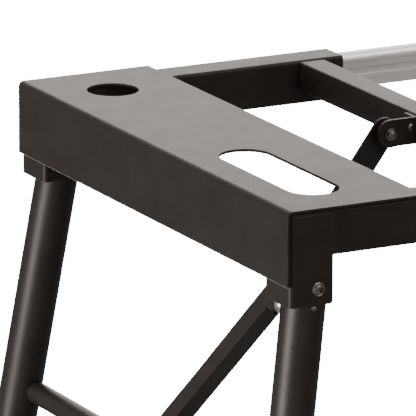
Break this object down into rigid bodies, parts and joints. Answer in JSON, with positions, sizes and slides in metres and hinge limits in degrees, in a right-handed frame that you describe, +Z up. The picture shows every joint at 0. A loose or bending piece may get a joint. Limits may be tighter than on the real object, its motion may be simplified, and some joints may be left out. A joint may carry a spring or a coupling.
{
  "type": "folding table-style stand",
  "caption": "Folding steel equipment stand: sheet-metal ends with a hand slot, sliding aluminium rails, splayed telescopic legs with a diagonal brace and folding stays.",
  "frame": {"origin": "on the floor, below the middle of the stand", "axes": "+X along the rails, +Y across the stand, +Z up"},
  "size_m": [1.2746, 0.5168, 0.72],
  "materials": {
    "black_powder_coat": "fine-textured black powder coat, satin",
    "aluminium": "natural anodised extrusion",
    "zinc_steel": "zinc-plated steel",
    "black_plastic": "moulded black plastic",
    "rubber": "black rubber"
  },
  "bodies": {
    "profiles": {"near_slide_profile": "aluminium", "far_slide_profile": "aluminium"},
    "left_end": {"left_end_hood": "black_powder_coat", "left_cross_member": "black_powder_coat", "left_stay_bracket": "black_powder_coat", "left_stay_bolt": "zinc_steel", "left_near_rail": "black_powder_coat", "left_near_rail_bush": "black_plastic", "left_near_leg_bracket": "black_powder_coat", "left_near_pivot_screw": "zinc_steel", "left_far_rail": "black_powder_coat", "left_far_rail_bush": "black_plastic", "left_far_leg_bracket": "black_powder_coat", "left_far_pivot_screw": "zinc_steel"},
    "left_legs": {"left_leg_crossbar": "black_powder_coat", "left_leg_brace": "black_powder_coat", "left_brace_screw": "zinc_steel", "left_near_leg_tube": "black_powder_coat", "left_far_leg_tube": "black_powder_coat"},
    "left_stay_upper": {"left_stay_upper": "black_powder_coat"},
    "left_stay_lower": {"left_stay_lower": "black_powder_coat"},
    "left_near_extension": {"left_near_leg_extension": "black_powder_coat", "left_near_leg_foot": "rubber"},
    "left_near_leg_knob": {"left_near_leg_knob": "black_plastic"},
    "left_near_rail_knob": {"left_near_rail_knob": "black_plastic"},
    "left_far_extension": {"left_far_leg_extension": "black_powder_coat", "left_far_leg_foot": "rubber"},
    "left_far_leg_knob": {"left_far_leg_knob": "black_plastic"},
    "left_far_rail_knob": {"left_far_rail_knob": "black_plastic"},
    "right_end": {"right_end_hood": "black_powder_coat", "right_cross_member": "black_powder_coat", "right_stay_bracket": "black_powder_coat", "right_stay_bolt": "zinc_steel", "right_far_rail": "black_powder_coat", "right_far_rail_bush": "black_plastic", "right_far_leg_bracket": "black_powder_coat", "right_far_pivot_screw": "zinc_steel", "right_near_rail": "black_powder_coat", "right_near_rail_bush": "black_plastic", "right_near_leg_bracket": "black_powder_coat", "right_near_pivot_screw": "zinc_steel"},
    "right_legs": {"right_leg_crossbar": "black_powder_coat", "right_leg_brace": "black_powder_coat", "right_brace_screw": "zinc_steel", "right_far_leg_tube": "black_powder_coat", "right_near_leg_tube": "black_powder_coat"},
    "right_stay_upper": {"right_stay_upper": "black_powder_coat"},
    "right_stay_lower": {"right_stay_lower": "black_powder_coat"},
    "right_far_extension": {"right_far_leg_extension": "black_powder_coat", "right_far_leg_foot": "rubber"},
    "right_far_leg_knob": {"right_far_leg_knob": "black_plastic"},
    "right_far_rail_knob": {"right_far_rail_knob": "black_plastic"},
    "right_near_extension": {"right_near_leg_extension": "black_powder_coat", "right_near_leg_foot": "rubber"},
    "right_near_leg_knob": {"right_near_leg_knob": "black_plastic"},
    "right_near_rail_knob": {"right_near_rail_knob": "black_plastic"}
  },
  "joints": [
    {"name": "left_end_slide", "type": "slide", "parent": "profiles", "child": "left_end", "axis": [-1, 0, 0], "range_m": [-0.1, 0.07]},
    {"name": "left_legs_fold", "type": "hinge", "parent": "left_end", "child": "left_legs", "pos_m": [-0.5215, 0, 0.665], "axis": [0, -1, 0], "range_deg": [0, 98.4]},
    {"name": "left_stay_upper_swing", "type": "hinge", "parent": "left_end", "child": "left_stay_upper", "pos_m": [-0.3575, 0, 0.706], "axis": [0, -1, 0], "range_deg": [-53.6, 0]},
    {"name": "left_stay_lower_swing", "type": "hinge", "parent": "left_legs", "child": "left_stay_lower", "pos_m": [-0.54137, 0, 0.496], "axis": [0, -1, 0], "range_deg": [-144, 0]},
    {"name": "left_near_leg_length", "type": "slide", "parent": "left_legs", "child": "left_near_extension", "axis": [-0.1455, -0.077, -0.9864], "range_m": [-0.15, 0.15]},
    {"name": "left_near_leg_knob_turn", "type": "hinge", "parent": "left_legs", "child": "left_near_leg_knob", "pos_m": [-0.585, -0.23535, 0.2345], "axis": [0.0112, -0.997, 0.0761], "range_deg": [0, 270]},
    {"name": "left_near_rail_knob_turn", "type": "hinge", "parent": "left_end", "child": "left_near_rail_knob", "pos_m": [-0.345, -0.1976, 0.70185], "axis": [0, -1, 0], "range_deg": [0, 270]},
    {"name": "left_far_leg_length", "type": "slide", "parent": "left_legs", "child": "left_far_extension", "axis": [-0.1455, 0.077, -0.9864], "range_m": [-0.15, 0.15]},
    {"name": "left_far_leg_knob_turn", "type": "hinge", "parent": "left_legs", "child": "left_far_leg_knob", "pos_m": [-0.585, 0.23535, 0.2345], "axis": [0.0112, 0.997, 0.0761], "range_deg": [0, 270]},
    {"name": "left_far_rail_knob_turn", "type": "hinge", "parent": "left_end", "child": "left_far_rail_knob", "pos_m": [-0.345, 0.1976, 0.70185], "axis": [0, 1, 0], "range_deg": [0, 270]},
    {"name": "right_end_slide", "type": "slide", "parent": "profiles", "child": "right_end", "axis": [1, 0, 0], "range_m": [-0.1, 0.07]},
    {"name": "right_legs_fold", "type": "hinge", "parent": "right_end", "child": "right_legs", "pos_m": [0.5215, 0, 0.665], "axis": [0, 1, 0], "range_deg": [0, 90]},
    {"name": "right_stay_upper_swing", "type": "hinge", "parent": "right_end", "child": "right_stay_upper", "pos_m": [0.3575, 0, 0.706], "axis": [0, 1, 0], "range_deg": [-53.6, 0]},
    {"name": "right_stay_lower_swing", "type": "hinge", "parent": "right_legs", "child": "right_stay_lower", "pos_m": [0.54137, 0, 0.496], "axis": [0, 1, 0], "range_deg": [-144, 0]},
    {"name": "right_far_leg_length", "type": "slide", "parent": "right_legs", "child": "right_far_extension", "axis": [0.1455, 0.077, -0.9864], "range_m": [-0.15, 0.15]},
    {"name": "right_far_leg_knob_turn", "type": "hinge", "parent": "right_legs", "child": "right_far_leg_knob", "pos_m": [0.585, 0.23535, 0.2345], "axis": [-0.0112, 0.997, 0.0761], "range_deg": [0, 270]},
    {"name": "right_far_rail_knob_turn", "type": "hinge", "parent": "right_end", "child": "right_far_rail_knob", "pos_m": [0.345, 0.1976, 0.70185], "axis": [0, 1, 0], "range_deg": [0, 270]},
    {"name": "right_near_leg_length", "type": "slide", "parent": "right_legs", "child": "right_near_extension", "axis": [0.1455, -0.077, -0.9864], "range_m": [-0.15, 0.15]},
    {"name": "right_near_leg_knob_turn", "type": "hinge", "parent": "right_legs", "child": "right_near_leg_knob", "pos_m": [0.585, -0.23535, 0.2345], "axis": [-0.0112, -0.997, 0.0761], "range_deg": [0, 270]},
    {"name": "right_near_rail_knob_turn", "type": "hinge", "parent": "right_end", "child": "right_near_rail_knob", "pos_m": [0.345, -0.1976, 0.70185], "axis": [0, -1, 0], "range_deg": [0, 270]}
  ],
  "couplings": [
    {"joint": "left_stay_upper_swing", "follows": "left_legs_fold", "ratio": -0.5437},
    {"joint": "left_stay_lower_swing", "follows": "left_legs_fold", "ratio": -1.4624},
    {"joint": "right_stay_upper_swing", "follows": "right_legs_fold", "ratio": -0.59444},
    {"joint": "right_stay_lower_swing", "follows": "right_legs_fold", "ratio": -1.5989}
  ]
}
